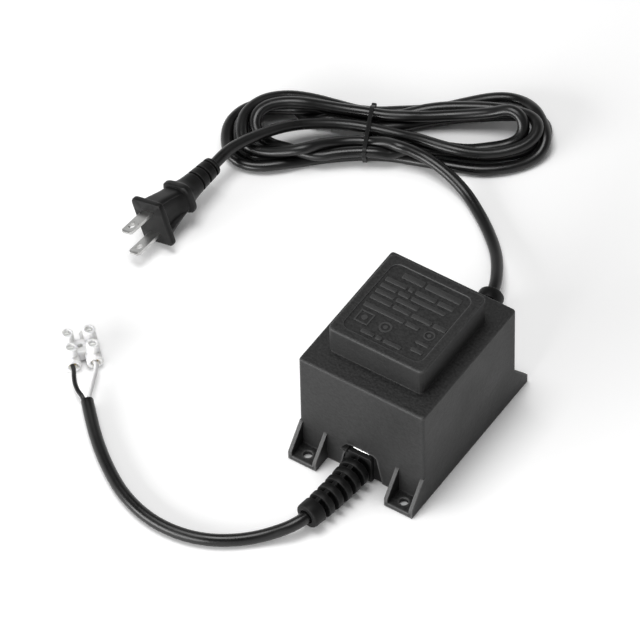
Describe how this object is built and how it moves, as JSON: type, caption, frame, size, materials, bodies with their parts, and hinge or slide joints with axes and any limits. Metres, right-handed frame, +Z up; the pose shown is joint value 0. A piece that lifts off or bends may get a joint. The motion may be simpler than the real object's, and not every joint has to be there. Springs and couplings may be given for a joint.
{
  "type": "encapsulated power supply",
  "caption": "Potted mains transformer in a black screw-down housing, with a hanked mains cord and plug and an output cord ending in a screw terminal block.",
  "frame": {"origin": "centre of the housing's footprint, on the surface it stands on", "axes": "+X across the housing, +Y from the output cord's wall to the mains cord's wall, +Z up"},
  "size_m": [0.2084, 0.3189, 0.075],
  "materials": {
    "housing_black": "fine matte texture",
    "relief_black": "satin moulded",
    "cord_black": "glossy PVC sheath",
    "tie_black": "satin",
    "plug_black": "satin moulded",
    "resin_grey": "cast",
    "lamination_steel": "varnished",
    "enamelled_copper": "enamelled",
    "former_white": "moulded",
    "tape_yellow": "film",
    "wire_white": "satin",
    "nickel": "plated",
    "brass": "turned",
    "terminal_white": "milky"
  },
  "bodies": {
    "root": {"housing": "housing_black", "potting_compound": "resin_grey", "core_e_stack": "lamination_steel", "core_i_stack": "lamination_steel", "bobbin": "former_white", "primary_winding": "enamelled_copper", "secondary_winding": "enamelled_copper", "primary_tape": "tape_yellow", "secondary_tape": "tape_yellow", "thermal_fuse": "nickel", "primary_lead_1": "wire_white", "primary_lead_2": "wire_white", "secondary_lead_1": "wire_white", "secondary_lead_2": "wire_white", "output_strain_relief": "relief_black", "mains_strain_relief": "relief_black", "output_cord": "cord_black", "black_core": "cord_black", "white_core": "wire_white", "terminal_block": "terminal_white", "terminal_tube_1": "brass", "terminal_tube_2": "brass", "terminal_screw_1": "nickel", "terminal_screw_2": "nickel", "terminal_screw_3": "nickel", "terminal_screw_4": "nickel", "mains_cord_lead": "cord_black", "mains_cord_hank": "cord_black", "mains_cord_tail": "cord_black", "hank_tie": "tie_black", "plug_body": "plug_black", "plug_blade_1": "nickel", "plug_blade_2": "nickel"}
  },
  "joints": []
}
